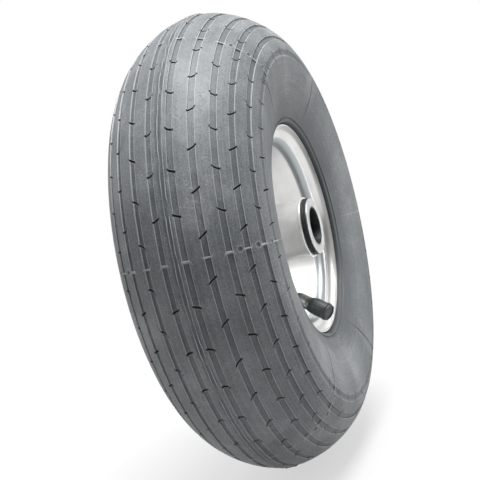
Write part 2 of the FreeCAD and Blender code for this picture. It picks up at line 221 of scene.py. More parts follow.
def make_floor():
    floor_radius = 6.0
    shadow_reach = (0.16, 0.62)
    kept_white = 0.62
    bounce, paper = (0.42, 0.42, 0.42, 1), (0.62, 0.62, 0.62, 1)
    finish = Finish("floor_white", Roughness=0.9)
    fade = (finish.x * finish.x + finish.y * finish.y).root().rise(*shadow_reach)
    looks, mirrored, through = (finish.value("ShaderNodeLightPath", output=f"Is {kind} Ray")
                                for kind in ("Camera", "Glossy", "Transmission"))
    seen = looks.largest(mirrored).largest(through)
    finish.vary(Base_Color=finish.mix(seen, bounce, paper))
    glow = finish.value("ShaderNodeEmission", {}, {"Color": (1, 1, 1, 1), "Strength": 1.0})
    board = Value(finish, finish.shader.outputs[0])
    finish.put(finish.surface, finish.blend(seen * (kept_white + (1 - kept_white) * fade), board, glow))
    shape = bmesh.new()
    ground = Matrix.Translation((0, 0, cad_box[0][2]))
    bmesh.ops.create_circle(shape, cap_ends=True, segments=96, radius=floor_radius, matrix=ground)
    mesh = bpy.data.meshes.new("floor")
    shape.to_mesh(mesh)
    shape.free()
    mesh.materials.append(finish.material)
    floor = bpy.data.objects.new("floor", mesh)
    bpy.context.scene.collection.objects.link(floor)


make_floor()


# The light is a white tent, bright overhead and behind the wheel and dim on the camera's side, with a soft lamp over
# the wheel and one behind it on each side, as for a catalogue picture. The camera itself sees the tent plain white.
def make_light():
    dim, bright, seen = 0.05, 1.15, 1.0
    lean_back = 0.55
    bright_way = (axes[2] * -lean_back + Vector((0, 0, 1))).normalized()
    dark_until, bright_from = -0.15, 1.0
    world = bpy.data.worlds.new("tent")
    bpy.context.scene.world = world
    tent = Shading(world)
    tent.tree.nodes.remove(tent.tree.nodes["Background"])
    way = tent.value("ShaderNodeTexCoord", output="Generated")
    facing = tent.value("ShaderNodeVectorMath", {"operation": "DOT_PRODUCT"}, {0: way, 1: bright_way}, "Value")
    looks = tent.value("ShaderNodeLightPath", output="Is Camera Ray")
    dark_side, bright_side, plain = (
        tent.value("ShaderNodeBackground", {}, {"Color": (1, 1, 1, 1), "Strength": power})
        for power in (dim, bright, seen))
    graded = tent.blend(facing.rise(dark_until, bright_from), dark_side, bright_side)
    tent.put(tent.tree.nodes["World Output"].inputs["Surface"], tent.blend(looks, graded, plain))
    # Each lamp's width in metres, power in watts, and place to the picture's right, up and towards the camera.
    lamps = (
        ("overhead", 0.5, 20.0, (-0.05, 1.15, 0.25)),
        ("left_strip", 0.4, 0.9, (-1.0, 0.2, -0.4)),
        ("right_strip", 0.4, 6.0, (1.0, 0.1, -0.35)),
    )
    for name, size, power, (right, up, forward) in lamps:
        place = axes[0] * right + axes[1] * up + axes[2] * forward
        light = bpy.data.lights.new(name, "AREA")
        light.size = size
        light.energy = power
        lamp = bpy.data.objects.new(name, light)
        lamp.location = place
        lamp.rotation_euler = place.to_track_quat("Z", "Y").to_euler()
        bpy.context.scene.collection.objects.link(lamp)


make_light()
bpy.context.scene.view_settings.view_transform = "Standard"


# The tyre is one moulding of grey rubber. Its ribs are parted by shallow flat grooves, and each groove is crossed by a
# row of short cuts. The mould leaves ragged flash round the crown, and across it a seam at each joint of its parts.
def finished(name, shape, body, slot, *nodes, sharp=35):
    """The shape as a piece of the wheel that stands for the nodes named."""
    bmesh.ops.recalc_face_normals(shape, faces=shape.faces)
    mesh = bpy.data.meshes.new(name)
    shape.to_mesh(mesh)
    shape.free()
    mesh.shade_smooth()
    mesh.set_sharp_from_angle(angle=math.radians(sharp))
    piece = bpy.data.objects.new(name, mesh)
    bpy.context.scene.collection.objects.link(piece)
    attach(piece, body)
    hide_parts(*nodes)
    return piece


seam_angle = math.radians(23.0)
seam_spacing = math.radians(60.0)
panel_angle = math.radians(-5.5)


def rubber_finish(vent_places):
    """Grey tyre rubber: dusty, fine-grained, drawn out round the wheel, with the mould's seams, vents and panels, with
    painted shade in the hollows and painted highlights on the tread's edges.
    """
    side_start, side_full = 34 * mm, 40 * mm
    tread_edge, lip, panel_top, panel_height = 100 * mm, 59.9 * mm, 98 * mm, 38 * mm
    panel_half, panel_taper = math.radians(32), math.radians(8.5)
    seam_reach, line_reach = 0.4 * mm, 1.1 * mm
    vent_reach, ring_radius, ring_reach = 1.6 * mm, 1.7 * mm, 0.5 * mm
    dark, light = (0.092, 0.103, 0.110, 1), (0.315, 0.330, 0.338, 1)
    pale_wear_and_highlight, painted_shade_black = (0.62, 0.64, 0.65, 1), (0.022, 0.025, 0.027, 1)
    finish = Finish("tyre_rubber", Specular_IOR_Level=0.4)
    blotches = finish.cloud(30 * mm, 3)
    dust = finish.cloud(5 * mm, 4)
    streaks = finish.round_marks(1.1 * mm, 60 * mm, 3)
    grain = finish.cloud(0.8 * mm, 2)
    scuffed = finish.cloud(26 * mm, 2).rise(0.54, 0.66)
    scratches = finish.cloud(7 * mm, 4).near(0.5, 0.012) * scuffed
    from_seam = (finish.angle - seam_angle).off_nearest(seam_spacing) * finish.radius
    on_side = abs(finish.y).rise(side_start, side_full)
    seam = from_seam.near(0, seam_reach)
    # The vent holes are painted near-black: painted shade inside each hole.
    holes, rings = from_seam * 0, from_seam * 0
    off_tread = 1 - finish.radius.rise(tread_edge, tread_edge + 1 * mm)
    for along, across in vent_places:
        reach = (((abs(finish.y) - along) / across) ** 2 + (from_seam + seam_reach) ** 2).root() + off_tread
        holes = holes.largest(reach.near(0, vent_reach))
        rings = rings.largest(reach.near(ring_radius, ring_reach))
    half_panel = panel_half - panel_taper * ((panel_top - finish.radius) / panel_height) ** 2
    from_panel = abs((finish.angle - panel_angle).off_nearest(math.pi))
    edge = (from_panel - half_panel) * finish.radius
    below_top = 1 - finish.radius.rise(panel_top - 1 * mm, panel_top + 1 * mm)
    # The panel's outline is sunk a little and painted near-black: painted shade in the step round the panel.
    line = edge.near(0, line_reach) * finish.radius.rise(lip, lip + 0.5 * mm) * below_top * on_side
    # Inside the lip, where the tyre meets the rim, the rubber is painted near-black: painted shade in the gap.
    shade_under_lip = 1 - finish.radius.rise(lip, lip + 0.8 * mm)
    # The tread's tone, kept on its corners, is painted light: painted shade in the grooves and cuts, and painted
    # highlights on the edges and fins.
    tone = finish.value("ShaderNodeAttribute", {"attribute_name": "tread_painted_light"}, {}, "Fac")
    clouded = (blotches - 0.5) * 0.6 + (dust - 0.5) * 0.25 + (streaks - 0.5) * 0.4 + (grain - 0.5) * 0.8
    # The rubber is painted darker towards the rim: painted shade by the rim.
    shade_by_the_rim = 1 - finish.radius.rise(60 * mm, 80 * mm)
    share = (0.4 + clouded + tone * 0.5 + rings * 0.3 + seam * on_side * 0.5
             + scuffed * 0.12 + scratches * 0.4 - shade_by_the_rim * 0.4).rise(0, 1.1)
    # Painted shade, near-black: the panel lines, the vent holes, the gap inside the lip, the cuts and the feet of the
    # flash.
    painted_shade = line.largest(holes).largest(shade_under_lip).largest((tone + 0.9) * -1)
    # Groove edges, cut ends and fins are paled: wear and a painted highlight.
    worn = tone.rise(0.35, 1.2)
    plain = finish.mix(worn * 0.45, finish.mix(share, dark, light), pale_wear_and_highlight)
    finish.vary(Base_Color=finish.mix(painted_shade * 0.95, plain, painted_shade_black),
                Roughness=0.52 - (blotches - 0.5) * 0.2 + (dust - 0.5) * 0.15)
    raised = streaks * 0.06 + grain * 0.08 + dust * 0.08 + seam * 0.06 + rings * 0.2
    sunk = scratches * 0.15 + line * 0.3 + holes * 0.5
    finish.relief((raised - sunk) * mm)
    return finish


# A row is one ring of the tyre's corners. A groove's angle is in degrees, its half widths and its depth are in
# millimetres, and its stagger and slant in pitches of the cuts.
# A row's tone is painted light: painted shade below nought, and above it a painted highlight with some wear. A
# groove's last field scales the wear and painted highlight on its edges.
Row = namedtuple("Row", "point stagger lean cut fin tone", defaults=(0, 0, None, None, 0))
Groove = namedtuple("Groove", "angle half floor depth cut stagger slant worn", defaults=(1.0,))


def make_tyre():
    low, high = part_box("tyre")
    fin_height = 0.6 * mm
    crown_radius = high.z - fin_height
    half_width = high.y - 0.1 * mm
    widest = 97 * mm
    crown_height = crown_radius - widest
    lower_height = 70 * mm
    power = 1.72
    cut_depth = 2.2 * mm
    cut_wall = 0.25 * mm
    cuts_round = 36
    cut_fin = 0.85
    flash_place, flash_clear = 0.3 * mm, 2.2 * mm
    flash_tears, flash_bends, least_flash, flash_sway = 24, 40, 0.1, 0.45 * mm
    # Positions within one pitch of the cuts: a cut's two walls, then the plain stretch with room for a mould seam.
    columns = (-0.046, -0.030, -0.021, 0.021, 0.030, 0.046, 0.25, 0.47, 0.485, 0.515, 0.53, 0.75)
    cut_ends, cut_middle, seam_middle, sloped = (1, 4), (2, 3), (8, 9), range(6)
    seam_window = 0.05
    off_centre = 1.2
    grooves = (
        Groove(10.0, 1.6, 1.35, 0.85, 1.9, 0.3, 0.38), Groove(29.0, 1.6, 1.35, 0.85, 2.0, 0.8, -0.7),
        Groove(47.5, 1.6, 1.35, 0.85, 1.95, 0.3, 0.5), Groove(62.5, 1.6, 1.35, 0.85, 1.95, 0.8, -0.7),
        Groove(76.8, 1.6, 1.3, 0.85, 1.85, 0.3, 0.6), Groove(90.0, 2.1, 1.1, 0.6, 2.9, 0.8, -0.4, 0.3),
    )
    # Tones of the painted light on the tread: a painted highlight with some wear on the groove edges and fins, and
    # painted shade on the groove floors and in the cuts.
    edge_highlight_tone, floor_shade_tone, cut_shade_tone, fin_highlight_tone = 1.2, -0.3, -1.4, 0.7

    def surface(angle):
        """The section's outside at an angle from the crown: radius, and place along the axle."""
        height = crown_height if math.cos(angle) >= 0 else lower_height
        across, up = abs(math.sin(angle)) / half_width, abs(math.cos(angle)) / height
        reach = (across ** power + up ** power) ** (-1 / power)
        return Vector((widest + reach * math.cos(angle), reach * math.sin(angle)))

    def way_along(angle):
        """The direction of the section's outside at an angle from the crown."""
        step = 0.01
        return (surface(angle + step) - surface(angle - step)).normalized()

    def side_width(radius):
        """Half the tyre's width at a radius below its widest."""
        return half_width * (1 - ((widest - radius) / lower_height) ** power) ** (1 / power)

    def groove_rows(groove, shift):
        """Rows across a groove: cut end, groove edge, floor, and back out, each with its lean and its depths."""
        angle = math.radians(groove.angle + shift)
        centre = surface(angle)
        way = way_along(angle)
        inward = Vector((-way.y, way.x))
        pitch_length = math.tau * crown_radius / cuts_round
        half, floor, cut_half = groove.half * mm, groove.floor * mm, groove.cut * mm
        depth = groove.depth * mm
        edge = edge_highlight_tone * groove.worn
        for offset, down, tone in (
            (-cut_half - cut_wall, 0, 0), (-cut_half, 0, 0), (-half, 0, edge), (-floor, depth, floor_shade_tone),
            (floor, depth, floor_shade_tone), (half, 0, edge), (cut_half, 0, 0), (cut_half + cut_wall, 0, 0),
        ):
            bend = angle + offset / (centre - Vector((widest, 0))).length
            cut = inward * (cut_depth - down) if abs(offset) <= cut_half else None
            yield bend, Row(surface(bend) + inward * down, groove.stagger, groove.slant * offset / pitch_length,
                            cut, inward * -min(down, depth * cut_fin), tone)

    def half_rows(first_angle, shift):
        """Rows from beside the flash out to the last groove, for one half of the section."""
        rows = []
        last_angle, last_stagger = first_angle, grooves[0].stagger
        for groove in grooves:
            across = list(groove_rows(groove, shift))
            for share in (1 / 3, 2 / 3):
                angle = last_angle + (across[0][0] - last_angle) * share
                stagger = last_stagger + (groove.stagger - last_stagger) * share
                rows.append(Row(surface(angle), stagger))
            rows.extend(row for angle, row in across)
            last_angle, last_stagger = across[-1][0], groove.stagger
        return rows

    def sidewall_rows(top, stagger):
        """Rows down the sidewall to the flange's lip, with the groove and the bead of its ring line."""
        foot = 60.7 * mm
        ring_top = 63.6 * mm
        steps = 14
        marks = [(top + (ring_top - top) * i / steps, 0) for i in range(1, steps)]
        marks += [(ring * mm, lift * mm) for ring, lift in (
            (63.5, 0), (63.2, 0.22), (62.85, 0.22), (62.6, 0), (62.5, -0.5), (62.1, -0.5), (61.95, 0), (61.4, 0.05))]
        marks.append((foot, -0.1 * mm))
        return [Row(Vector((r, side_width(r) + lift)), stagger) for r, lift in marks]

    def lining_rows():
        """The hidden inside: under the lip, down the bead and over the cavity."""
        points = ((60.3, 32.3), (59.9, 31.0), (59.5, 29.8), (59.4, 27.6), (57.0, 25.3), (54.2, 25.3), (51.3, 22.3),
                  (50.9, 17.2), (56.8, 18.9), (76.9, 34.8), (101.0, 36.5), (114.0, 26.0), (121.0, 14.0))
        return [Row(Vector((r * mm, y * mm))) for r, y in points]

    def flash_rows():
        """Two low ragged fins side by side, from the left to the right, each with a painted highlight and painted
        shade at its feet.
        """
        marks = [(-1.5, 0), (-1.15, 1), (-0.9, 1), (-0.6, 0), (0.6, 0), (0.9, 1), (1.15, 1), (1.5, 0)]
        return [Row(Vector((crown_radius + up * fin_height, y * mm + flash_place)), grooves[0].stagger,
                    tone=edge_highlight_tone if up else cut_shade_tone * 0.85) for y, up in marks]

    halves = []
    for shift in (off_centre, -off_centre):
        rows = half_rows(flash_clear / crown_height, shift)
        halves.append(rows + sidewall_rows(rows[-1].point.x, rows[-1].stagger) + lining_rows())
    other = [Row(*(Vector((v.x, -v.y)) if isinstance(v, Vector) else v for v in row)) for row in halves[0]]
    flash = flash_rows()
    section = other[::-1] + flash + halves[1]
    first_flash = len(other)
    rows_a_fin = len(flash) // 2

    shape = bmesh.new()
    row_number = shape.verts.layers.int.new("row")
    # Each corner keeps the tone of the painted light on the tread, which the rubber's colour reads.
    tread_painted_light = shape.verts.layers.float.new("tread_painted_light")
    outline = [shape.verts.new((row.point.x, row.point.y, 0)) for row in section]
    for number, corner in enumerate(outline):
        corner[row_number] = number
    for first, second in zip(outline, outline[1:] + outline[:1]):
        shape.edges.new((first, second))
    steps = cuts_round * len(columns)
    bmesh.ops.spin(shape, geom=shape.verts[:] + shape.edges[:], axis=(0, 1, 0), angle=math.tau, steps=steps,
                   use_merge=True)
    pitch = math.tau / cuts_round
    for corner in shape.verts:
        number = corner[row_number]
        row = section[number]
        column = round(math.atan2(corner.co.x, corner.co.z) / math.tau * steps) % steps
        pitch_number, place = divmod(column, len(columns))
        angle = (pitch_number + columns[place] + row.stagger) * pitch
        from_seam = (angle - seam_angle + seam_spacing / 2) % seam_spacing - seam_spacing / 2
        at_seam = abs(from_seam) < seam_window * pitch
        point = row.point.copy()
        # Each corner takes its row's painted light. Seam fins and cut ends get a painted highlight, and cut bottoms
        # get painted shade.
        corner[tread_painted_light] = row.tone
        if at_seam and place in cut_middle + seam_middle and row.fin:
            point += row.fin
            corner[tread_painted_light] = fin_highlight_tone
        elif place in cut_middle and row.cut:
            point += row.cut
            corner[tread_painted_light] = cut_shade_tone
        elif place in cut_ends and row.cut:
            corner[tread_painted_light] = fin_highlight_tone
        if place in sloped and not at_seam:
            angle += row.lean * pitch
        flash_row = number - first_flash
        if 0 <= flash_row < len(flash):
            around = Vector((math.sin(angle), math.cos(angle), flash_row // rows_a_fin))
            share = 0.5 + noise.noise(around * flash_tears) * 1.2
            point.x = crown_radius + (point.x - crown_radius) * max(least_flash, min(1, share))
            point.y += noise.noise(around * flash_bends) * flash_sway
            corner[tread_painted_light] = row.tone * share
        corner.co = Vector((point.x * math.sin(angle), point.y, point.x * math.cos(angle)))
    vent_angles = [math.radians(degrees) for degrees in (55.0, 70.0, 84.0)]
    vents = [(surface(angle).y, max(0.2, way_along(angle).y)) for angle in vent_angles]
    tyre = finished("tyre_rubber_cover", shape, "wheel", "tyre_rubber", "tyre", sharp=28)
    tyre.data.materials.append(rubber_finish(vents).material)


make_tyre()


# The rim is two halves pressed from sheet steel, each with a disc, a sloping wall, a seat for the tyre's bead and a
# rolled flange, zinc plated all over and held together by four bolts.
def lathe(corners, rounds, steps, closed=True):
    """A section turned once round the axle. Corners are (radius, along) in mm, each rounded by (reach, segments)."""
    shape = bmesh.new()
    outline = [shape.verts.new((r * mm, y * mm, 0)) for r, y in corners]
    following = outline[1:] + outline[:1] if closed else outline[1:]
    for first, second in zip(outline, following):
        shape.edges.new((first, second))
    for corner, (reach, segments) in zip(outline, rounds):
        if reach:
            bmesh.ops.bevel(shape, geom=[corner], offset=reach * mm, offset_type="OFFSET", affect="VERTICES",
                            segments=segments, profile=0.5, material=-1)
    bmesh.ops.spin(shape, geom=shape.verts[:] + shape.edges[:], axis=(0, 1, 0), angle=math.tau, steps=steps,
                   use_merge=True)
    return shape


def zinc_finish(name, colour, roughness, swirl, seat_shade=0.0):
    """Zinc plate: bright metal with cloudy patches, marks round the axle and a few dull spots. The last argument is
    the share of painted shade laid on the seat of the tyre's bead, as a darker colour with a rougher surface."""
    seat_along, seat_top = 20.4 * mm, 53.6 * mm
    seat_shade_colour = (0.40, 0.43, 0.44, 1)
    finish = Finish(name, Metallic=1.0)
    patches = finish.cloud(14 * mm, 2)
    marks = finish.round_marks(1.4 * mm, 60 * mm, 2)
    spots = finish.cloud(1.6 * mm, 3).rise(0.66, 0.74)
    darker = tuple(part * 0.84 for part in colour) + (1,)
    share = (0.55 + (patches - 0.5) * 0.9 + (marks - 0.5) * swirl).rise(0.1, 0.9) * (1 - spots * 0.5)
    bright = finish.mix(share, darker, tuple(colour) + (1,))
    # On the bead seat the zinc is painted darker: painted shade.
    below_top = 1 - finish.radius.rise(seat_top - 1.2 * mm, seat_top)
    shade_on_seat = abs(finish.y).rise(seat_along, seat_along + 0.6 * mm) * below_top * seat_shade
    finish.vary(Base_Color=finish.mix(shade_on_seat, bright, seat_shade_colour),
                Roughness=roughness + (patches - 0.5) * 0.1 + spots * 0.2 + shade_on_seat * 0.12)
    finish.relief((marks * 0.012 + patches * 0.03) * mm)
    return finish


def make_rim():
    # The corners lie on the middle of the solid's 1.6 mm sheet, and only its half towards the tyre is built.
    half_sheet, steps_round = 0.8, 192
    corners = ((16.1, 0.8), (39.06, 0.8), (50.1, 20.8), (50.4, 26.2), (58.5, 26.2), (58.5, 31.2))
    rounds = ((0, 0), (3.6, 8), (1.0, 4), (3.6, 10), (3.7, 10), (0, 0))
    # The bead seats get 0.9 of the painted shade.
    zinc = zinc_finish("rim_zinc", (0.80, 0.80, 0.79), 0.36, 0.3, seat_shade=0.9)
    for side, place in ((1, "outer"), (-1, "inner")):
        shape = lathe([(r, y * side) for r, y in corners], rounds, steps_round, closed=False)
        bmesh.ops.recalc_face_normals(shape, faces=shape.faces)
        bmesh.ops.solidify(shape, geom=shape.faces[:], thickness=-half_sheet * mm)
        half = finished(f"rim_pressing_{place}", shape, "wheel", "rim_zinc", f"rim_{place}_half", sharp=50)
        half.data.materials.append(zinc.material)


make_rim()


# The hub is a drawn steel tube, zinc plated, welded into the two discs. Its ends are rolled out into a bright lip.
def make_hub_tube():
    inner, outer, end, lip, weld = 14.2, 16.0, 33.9, 17.1, 1.5
    ripples_per_metre, ripple_height = 900, 0.25 * mm
    half = ((inner, end, 0.35, 3), (lip, end, 0.5, 5), (lip, end - 1.3, 0.5, 5), (outer, end - 1.3, 0.25, 3),
            (outer, 0.8 + weld, 0.3, 3), (outer + weld, 0.8, 0.3, 3))
    corners = [(r, y) for r, y, reach, segments in half]
    rounds = [(reach, segments) for r, y, reach, segments in half]
    corners += [(r, -y) for r, y in reversed(corners)]
    shape = lathe(corners, rounds + rounds[::-1], 128)
    for corner in shape.verts:
        around = Vector((corner.co.x, 0, corner.co.z))
        if abs(corner.co.y) < (0.9 + weld) * mm and around.length > (outer + 0.1) * mm:
            corner.co += around.normalized() * noise.noise(corner.co * ripples_per_metre) * ripple_height
    tube = finished("hub_tube_plated", shape, "wheel", "hub_zinc", "hub_tube", sharp=40)
    finish = Finish("hub_zinc", Metallic=0.6)
    clouds = finish.cloud(8 * mm, 3)
    drawn = finish.round_marks(0.5 * mm, 12 * mm)
    specks = finish.cloud(1.3 * mm, 2).rise(0.7, 0.76)
    share = (0.5 + (clouds - 0.5) * 0.8 + (drawn - 0.5) * 0.3).rise(0.1, 0.9) * (1 - specks * 0.8)
    on_lip = finish.radius.rise(16.2 * mm, 16.7 * mm)
    plain = finish.mix(share, (0.64, 0.64, 0.635, 1), (0.84, 0.84, 0.83, 1))
    finish.vary(Base_Color=finish.mix(on_lip, plain, (0.95, 0.95, 0.94, 1)), Roughness=0.5 - on_lip * 0.25)
    finish.relief((drawn * 0.02 + clouds * 0.04) * mm)
    tube.data.materials.append(finish.material)


make_hub_tube()


# A black rubber seal closes each end of the hub tube. Its collar stands between the tube's lip and the end washer, and
# is moulded with three ridges.
def rubber(name, colour, roughness):
    """Smooth black rubber, with a little dust and fine marks."""
    finish = Finish(name, Specular_IOR_Level=0.45)
    dust = finish.cloud(3 * mm, 4)
    marks = finish.round_marks(0.4 * mm, 20 * mm, 2)
    pale = tuple(part * 2.1 + 0.01 for part in colour)
    share = (dust - 0.35) * 0.9 + (marks - 0.5) * 0.5
    finish.vary(Base_Color=finish.mix(share.rise(0, 1), colour + (1,), pale + (1,)),
                Roughness=roughness + (dust - 0.5) * 0.2)
    finish.relief((marks * 0.02 + dust * 0.02) * mm)
    return finish


def make_seals():
    bore, plug, collar, foot, face, top = 11.9, 14.2, 16.0, 30.7, 33.95, 36.75
    black = rubber("seal_rubber", (0.022, 0.024, 0.026), 0.5)
    ridges = 3
    ridge = (top - face) / ridges
    valley = collar - 0.55
    corners = [(bore, foot), (plug, foot), (plug, face)]
    rounds = [(0.2, 2), (0.2, 2), (0, 0)]
    for i in range(ridges):
        start = face + ridge * i
        corners += [(valley, start), (collar, start + 0.08), (collar, start + ridge - 0.24),
                    (valley, start + ridge - 0.16)]
        rounds += [(0, 0), (0.16, 3), (0.16, 3), (0, 0)]
    corners += [(valley, top), (bore, top)]
    rounds += [(0, 0), (0.2, 2)]
    for side, end in ((1, "outer"), (-1, "inner")):
        shape = lathe([(r, y * side) for r, y in corners], rounds, 96)
        seal = finished(f"seal_collar_{end}", shape, "wheel", "seal_rubber", f"bearing_seal_{end}", sharp=40)
        seal.data.materials.append(black.material)


make_seals()


# The axle sleeve is a hardened tube that the rollers run on. Its bore is painted near-black, as painted shade inside
# the hollow. A zinc-plated washer is pressed on each of its ends.
def make_sleeve():
    bore, outer, end, chamfer = 10.1, 11.6, 37.5, 0.5
    corners = [(bore + chamfer, -end), (outer, -end), (outer, end), (bore + chamfer, end), (bore, end - chamfer),
               (bore, -end + chamfer)]
    rounds = [(0.08, 1), (0, 0), (0, 0), (0.08, 1), (0.15, 2), (0.15, 2)]
    sleeve = finished("axle_sleeve_tube", lathe(corners, rounds, 96), "axle_core", "sleeve_steel", "axle_sleeve")
    finish = Finish("sleeve_steel", Metallic=0.9)
    scale = finish.cloud(4 * mm, 4)
    turned = finish.round_marks(0.3 * mm, 30 * mm, 2)
    ground = finish.radius.rise(10.6 * mm, 10.85 * mm)
    # The bore and its chamfers are painted near-black: painted shade in the hollow. The ends and the outside stay bare
    # steel.
    bore_shade = finish.mix((scale + turned * 0.4).rise(0.3, 1.0), (0.012, 0.013, 0.014, 1), (0.06, 0.063, 0.066, 1))
    bare = finish.mix(turned, (0.34, 0.34, 0.34, 1), (0.5, 0.5, 0.5, 1))
    finish.vary(Base_Color=finish.mix(ground, bore_shade, bare), Roughness=0.55 - ground * 0.15)
    finish.relief((turned * 0.02 + scale * 0.02) * mm)
    sleeve.data.materials.append(finish.material)


def make_end_washers():
    inner, outer, foot, end = 11.6, 15.9, 36.85, 37.5
    finish = Finish("washer_zinc", Metallic=0.9)
    clouds = finish.cloud(5 * mm, 3)
    turned = finish.round_marks(0.35 * mm, 25 * mm, 3)
    share = (0.5 + (clouds - 0.5) * 0.9 + (turned - 0.5) * 0.6).rise(0.1, 0.9)
    finish.vary(Base_Color=finish.mix(share, (0.42, 0.43, 0.43, 1), (0.64, 0.64, 0.63, 1)),
                Roughness=0.42 + (clouds - 0.5) * 0.2)
    finish.relief((turned * 0.03 + clouds * 0.03) * mm)
    for side, place in ((1, "outer"), (-1, "inner")):
        corners = [(inner, foot * side), (outer, foot * side), (outer, end * side), (inner, end * side)]
        shape = lathe(corners, [(0, 0), (0.2, 2), (0.35, 4), (0.12, 2)], 96)
        washer = finished(f"hub_end_washer_{place}", shape, "axle_core", "washer_zinc", f"end_washer_{place}")
        washer.data.materials.append(finish.material)


make_sleeve()
make_end_washers()


# Inside the hub, two moulded nylon cages hold ground steel rollers, and a nylon distance tube keeps the cages apart.
# None of it shows until the hub is opened.
def dress(finish, *nodes):
    """Gives the nodes, which keep their own shape, a finish."""
    for node in nodes:
        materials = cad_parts[node].data.materials
        materials.clear()
        materials.append(finish.material)


def nylon(name, colour):
    finish = Finish(name, Roughness=0.5, Subsurface_Weight=0.1)
    tone = finish.cloud(6 * mm, 3)
    flow = finish.cloud(0.8 * mm, 2)
    yellowed = (colour[0], colour[1] * 0.95, colour[2] * 0.84, 1)
    finish.vary(Base_Color=finish.mix(tone.rise(0.3, 0.7), colour + (1,), yellowed), Roughness=0.42 + flow * 0.16)
    finish.relief(flow * 0.02 * mm)
    return finish


def steel(name, colour, roughness, size):
    finish = Finish(name, Metallic=1.0)
    marks = finish.cloud(size, 3)
    darker = tuple(part * 0.8 for part in colour) + (1,)
    finish.vary(Base_Color=finish.mix(marks.rise(0.3, 0.7), darker, colour + (1,)),
                Roughness=roughness + (marks - 0.5) * 0.15)
    finish.relief(marks * 0.01 * mm)
    return finish


dress(nylon("cage_nylon", (0.62, 0.60, 0.54)), "roller_cage_outer", "roller_cage_inner")
dress(nylon("spacer_nylon", (0.66, 0.65, 0.61)), "bearing_spacer")
dress(steel("roller_steel", (0.62, 0.63, 0.64), 0.2, 1.2 * mm), "rollers_outer", "rollers_inner")


# Four hexagon bolts clamp the rim halves together, with their heads on the valve side and plain nuts on the far side.
# All are zinc plated, and their corners are turned off in a cone.
def ring_on(shape, matrix, radius, along, segments):
    """A ring of edges about the frame's z."""
    level = matrix @ Matrix.Translation((0, 0, along * mm))
    corners = bmesh.ops.create_circle(shape, segments=segments, radius=radius * mm, matrix=level)["verts"]
    return list({edge for corner in corners for edge in corner.link_edges})


def hexagon_on(shape, matrix, flat, along, turned_off, segments):
    """A ring of edges round a hexagon, which sinks towards its corners where they are turned off."""
    edges = ring_on(shape, matrix, flat, along, segments)
    slope = math.tan(math.radians(30))
    for corner in {corner for edge in edges for corner in edge.verts}:
        place = matrix.inverted() @ corner.co
        angle = (math.atan2(place.y, place.x) + math.pi) % (math.pi / 3) - math.pi / 6
        beyond = flat * mm * (1 / math.cos(angle) - 1)
        place += Vector((place.x, place.y, 0)).normalized() * beyond
        place.z -= beyond * slope * turned_off
        corner.co = matrix @ place
    return edges


def skin(shape, rings, closed=False):
    """Faces from each ring to the next, and caps or a last strip so that none is left open."""
    following = rings[1:] + rings[:1] if closed else rings[1:]
    for first, second in zip(rings, following):
        bmesh.ops.bridge_loops(shape, edges=first + second)
    if not closed:
        bmesh.ops.contextual_create(shape, geom=rings[0])
        bmesh.ops.contextual_create(shape, geom=rings[-1])


def make_bolts():
    sheet, head, nut, tail = 1.6, 4.0, 5.0, 1.5
    flat, crown, shank, circle, count = 5.0, 4.75, 3.0, 26.8, 4
    thread_turns, thread_pitch, thread_depth = 7, 1.0, 0.35
    sides, shank_sides = 48, 32
    tip = -sheet - nut - tail
    bolts = bmesh.new()
    nuts = bmesh.new()
    for i in range(count):
        angle = math.tau / count * (i + 0.5)
        place = Vector((math.sin(angle), 0, math.cos(angle))) * circle * mm
        matrix = Matrix.Translation(place) @ Matrix.Rotation(-math.pi / 2, 4, "X")
        top = sheet + head
        skin(bolts, [
            hexagon_on(bolts, matrix, flat, sheet, 0, sides), hexagon_on(bolts, matrix, flat, top - 0.15, 1, sides),
            ring_on(bolts, matrix, crown, top, sides), ring_on(bolts, matrix, crown - 0.6, top, sides),
            ring_on(bolts, matrix, crown - 1.0, top - 0.2, sides),
        ])
        rings = [(shank - 0.5, tip), (shank - thread_depth, tip + 0.2)]
        for turn in range(1, thread_turns + 1):
            along = tip + thread_pitch * turn
            rings += [(shank, along - thread_pitch / 2), (shank - thread_depth, along)]
        rings += [(shank, -sheet), (shank, sheet + 0.1)]
        skin(bolts, [ring_on(bolts, matrix, radius, along, shank_sides) for radius, along in rings])
        far = matrix @ Matrix.Rotation(math.pi, 4, "X")
        top = sheet + nut
        skin(nuts, [
            ring_on(nuts, far, shank + 0.05, sheet, sides), hexagon_on(nuts, far, flat, sheet, 0, sides),
            hexagon_on(nuts, far, flat, top - 0.15, 1, sides), ring_on(nuts, far, crown, top, sides),
            ring_on(nuts, far, shank + 0.5, top, sides), ring_on(nuts, far, shank + 0.05, top - 0.45, sides),
        ], closed=True)
    finish = zinc_finish("bolt_zinc", (0.70, 0.71, 0.70), 0.3, 0.4)
    for name, shape, node in (("rim_bolts_plated", bolts, "rim_bolts"), ("rim_nuts_plated", nuts, "rim_nuts")):
        piece = finished(name, shape, "wheel", "bolt_zinc", node, sharp=25)
        piece.data.materials.append(finish.material)


make_bolts()


# The valve stem is nickel-plated brass, dull and grey. Its foot goes through the rim, it bends at a right angle, and
# the arm ends in a thread for the cap. A black rubber base seals it in the rim.
sheet, edge_radius, seat_radius, seat_start = 1.6, 39.5, 50.8, 20.5
along_wall, arm_height, stem_length = 12.5, 7.5, 22.0
arm_swing = math.radians(-21.0)
wall = Vector((seat_radius - edge_radius, seat_start)).normalized()
foot_radius, foot_along = edge_radius + wall.x * along_wall, wall.y * along_wall
wall_way = Vector((0, wall.y, -wall.x))
wall_out = Vector((0, wall.x, wall.y))
valve_foot = Vector((0, foot_along, -foot_radius)) * mm
arm_way = Matrix.Rotation(arm_swing, 3, wall_out) @ wall_way
arm_start = valve_foot + wall_out * (sheet + arm_height) * mm
stem_end = arm_start + arm_way * stem_length * mm


def frame_at(place, along):
    """A frame at a place, with its z along a direction."""
    return Matrix.Translation(place) @ along.to_track_quat("Z", "Y").to_matrix().to_4x4()


